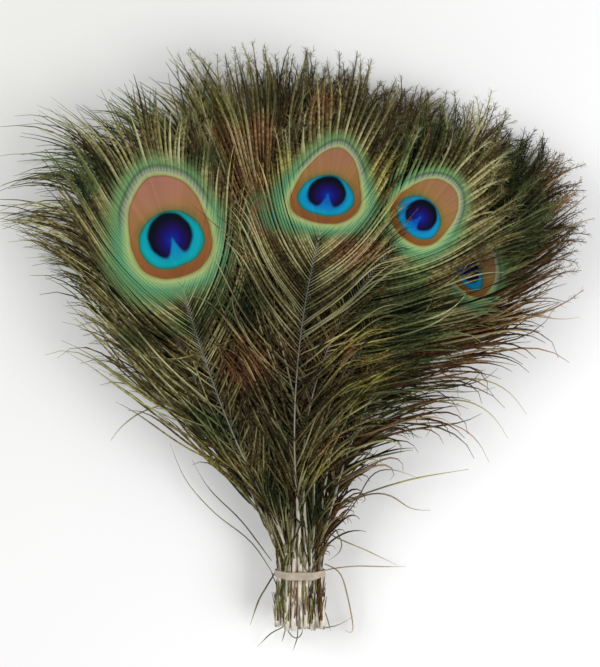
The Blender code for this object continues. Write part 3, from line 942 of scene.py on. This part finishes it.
# ---- Rubber band ----
# One flat pinkish-beige rubber band, drawn tight round the outer quills, which hold it open.
# It is wider and lies lower in the middle than where it turns round the sides.
BAND_RINGS = 96
BAND_ROWS = 6
BAND_THICKNESS = 1.0 * MM
BAND_WIDTH = (2.9 * MM, 4.2 * MM)
BAND_SHIFT = (1.6 * MM, -1.0 * MM)
BAND_HALF = 12 * MM
reach = QUILL_RADIUS + 0.3 * MM
quill_spots = [(q["across"] * (1 - SQUEEZE), (q["base"] - BUNCH_Z) * (1 - SQUEEZE)) for q in quills]
band_shape = bmesh.new()
outline = []
for step in range(BAND_RINGS):
    angle = 2 * math.pi * step / BAND_RINGS
    out = (math.cos(angle), math.sin(angle))
    spot = max(quill_spots, key=lambda s: s[0] * out[0] + s[1] * out[1])
    outline.append(band_shape.verts.new((
        BUNCH_X + spot[0] + reach * out[0], BUNCH_Y, BUNCH_Z + spot[1] + reach * out[1])))
rim = [band_shape.edges.new((outline[i - 1], outline[i])) for i in range(BAND_RINGS)]
for row in range(BAND_ROWS):
    grown = bmesh.ops.extrude_edge_only(band_shape, edges=rim)["geom"]
    moved = [g for g in grown if isinstance(g, bmesh.types.BMVert)]
    rim = [g for g in grown if isinstance(g, bmesh.types.BMEdge)]
    bmesh.ops.translate(band_shape, verts=moved, vec=(0, BAND_WIDTH[1] / BAND_ROWS, 0))
for point in band_shape.verts:
    aside = min(abs(point.co.x - BUNCH_X) / BAND_HALF, 1)
    width = BAND_WIDTH[1] + (BAND_WIDTH[0] - BAND_WIDTH[1]) * aside ** 2
    from_middle = (point.co.y - BUNCH_Y) / BAND_WIDTH[1] - 0.5
    point.co.y = BUNCH_Y + from_middle * width + BAND_SHIFT[0] * aside ** 2 + BAND_SHIFT[1]
bmesh.ops.recalc_face_normals(band_shape, faces=band_shape.faces)
middle_face = max(band_shape.faces, key=lambda f: f.calc_center_median().z)
if middle_face.normal.z < 0:
    bmesh.ops.reverse_faces(band_shape, faces=band_shape.faces)
band_mesh = bpy.data.meshes.new("band_around_quills")
band_shape.to_mesh(band_mesh)
band_shape.free()
band = put_in_scene("band_around_quills", band_mesh)
wall = band.modifiers.new("wall", "SOLIDIFY")
wall.thickness = BAND_THICKNESS
wall.offset = 1.0
rounded = band.modifiers.new("rounded", "BEVEL")
rounded.width = 0.32 * MM
rounded.segments = 3
rounded.limit_method = "ANGLE"
for face in band_mesh.polygons:
    face.use_smooth = True
band_finish, tree, shader, calc, place = plain_material("band_rubber", 0.62)
mottle = noise_at(tree, place, 380, 3.0).outputs["Fac"]
rubber = ramp(tree, mottle, 0.2, 0.8, (0.25, 0.5, 0.75), (
    (0.28, 0.23, 0.175), (0.36, 0.295, 0.228), (0.46, 0.385, 0.3)))
tree.links.new(rubber, shader.inputs["Base Color"])
band_mesh.materials.append(band_finish)
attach(band, "root")
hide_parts("rubber_band")


# ---- Table, light and camera ----
# A pale table with a painted light falloff, greyer at the upper left and lighter at the lower
# right, under soft light from both sides, seen from straight above, only to show the bunch.
floor_shape = bmesh.new()
bmesh.ops.create_grid(floor_shape, x_segments=1, y_segments=1, size=1.5)
floor_mesh = bpy.data.meshes.new("table_top")
floor_shape.to_mesh(floor_mesh)
floor_shape.free()
table = put_in_scene("table_top", floor_mesh)
floor_finish, tree, shader, calc, place = plain_material("pale_table", 0.9)
shader.inputs["Specular IOR Level"].default_value = 0.1
spot = tree.nodes.new("ShaderNodeSeparateXYZ")
tree.links.new(place, spot.inputs[0])
# Painted light on the table: its colour gets greyer towards the upper left and lighter towards the
# lower right
slant = calc("ADD", spot.outputs["X"], calc("MULTIPLY", spot.outputs["Y"], -0.8))
painted_light_gradient = ramp(tree, slant, -0.3, 0.3, (-0.26, -0.1, 0, 0.2), (
    (0.7, 0.705, 0.68), (0.77, 0.775, 0.765), (0.8, 0.8, 0.8), (0.86, 0.86, 0.86)))
tree.links.new(painted_light_gradient, shader.inputs["Base Color"])
floor_mesh.materials.append(floor_finish)


def soft_lamp(name, spot, size, power):
    """A square lamp at a spot, turned to the bunch."""
    lamp = bpy.data.lights.new(name, "AREA")
    lamp.size = size
    lamp.energy = power
    holder = put_in_scene(name, lamp)
    holder.location = spot
    target = np.array((BUNCH_X, 0, 0)) - np.array(spot)
    holder.rotation_euler = (
        math.atan2(math.hypot(target[0], target[1]), -target[2]), 0,
        math.atan2(target[1], target[0]) - math.pi / 2)


soft_lamp("left_softbox", (-0.9, 0.35, 0.95), 0.8, 9)
soft_lamp("right_softbox", (0.95, -0.35, 0.95), 0.8, 12)
world = bpy.data.worlds.new("soft_room")
bpy.context.scene.world = world
world.use_nodes = True
sky = world.node_tree.nodes["Background"]
sky.inputs["Color"].default_value = (1, 1, 1, 1)
sky.inputs["Strength"].default_value = 0.55
bpy.context.scene.view_settings.view_transform = "Standard"

VIEW_HEIGHT = 320 * MM
CAMERA_DISTANCE = 0.9
VANE_HEIGHT = 42 * MM
FRAME_MIDDLE = 118 * MM
eye_view = bpy.data.cameras.new("over_the_table")
eye_view.sensor_fit = "VERTICAL"
eye_view.angle = 2 * math.atan(VIEW_HEIGHT / 2 / CAMERA_DISTANCE)
camera = put_in_scene("over_the_table", eye_view)
camera.location = (BUNCH_X, BUNCH_Y + FRAME_MIDDLE, VANE_HEIGHT + CAMERA_DISTANCE)
bpy.context.scene.camera = camera
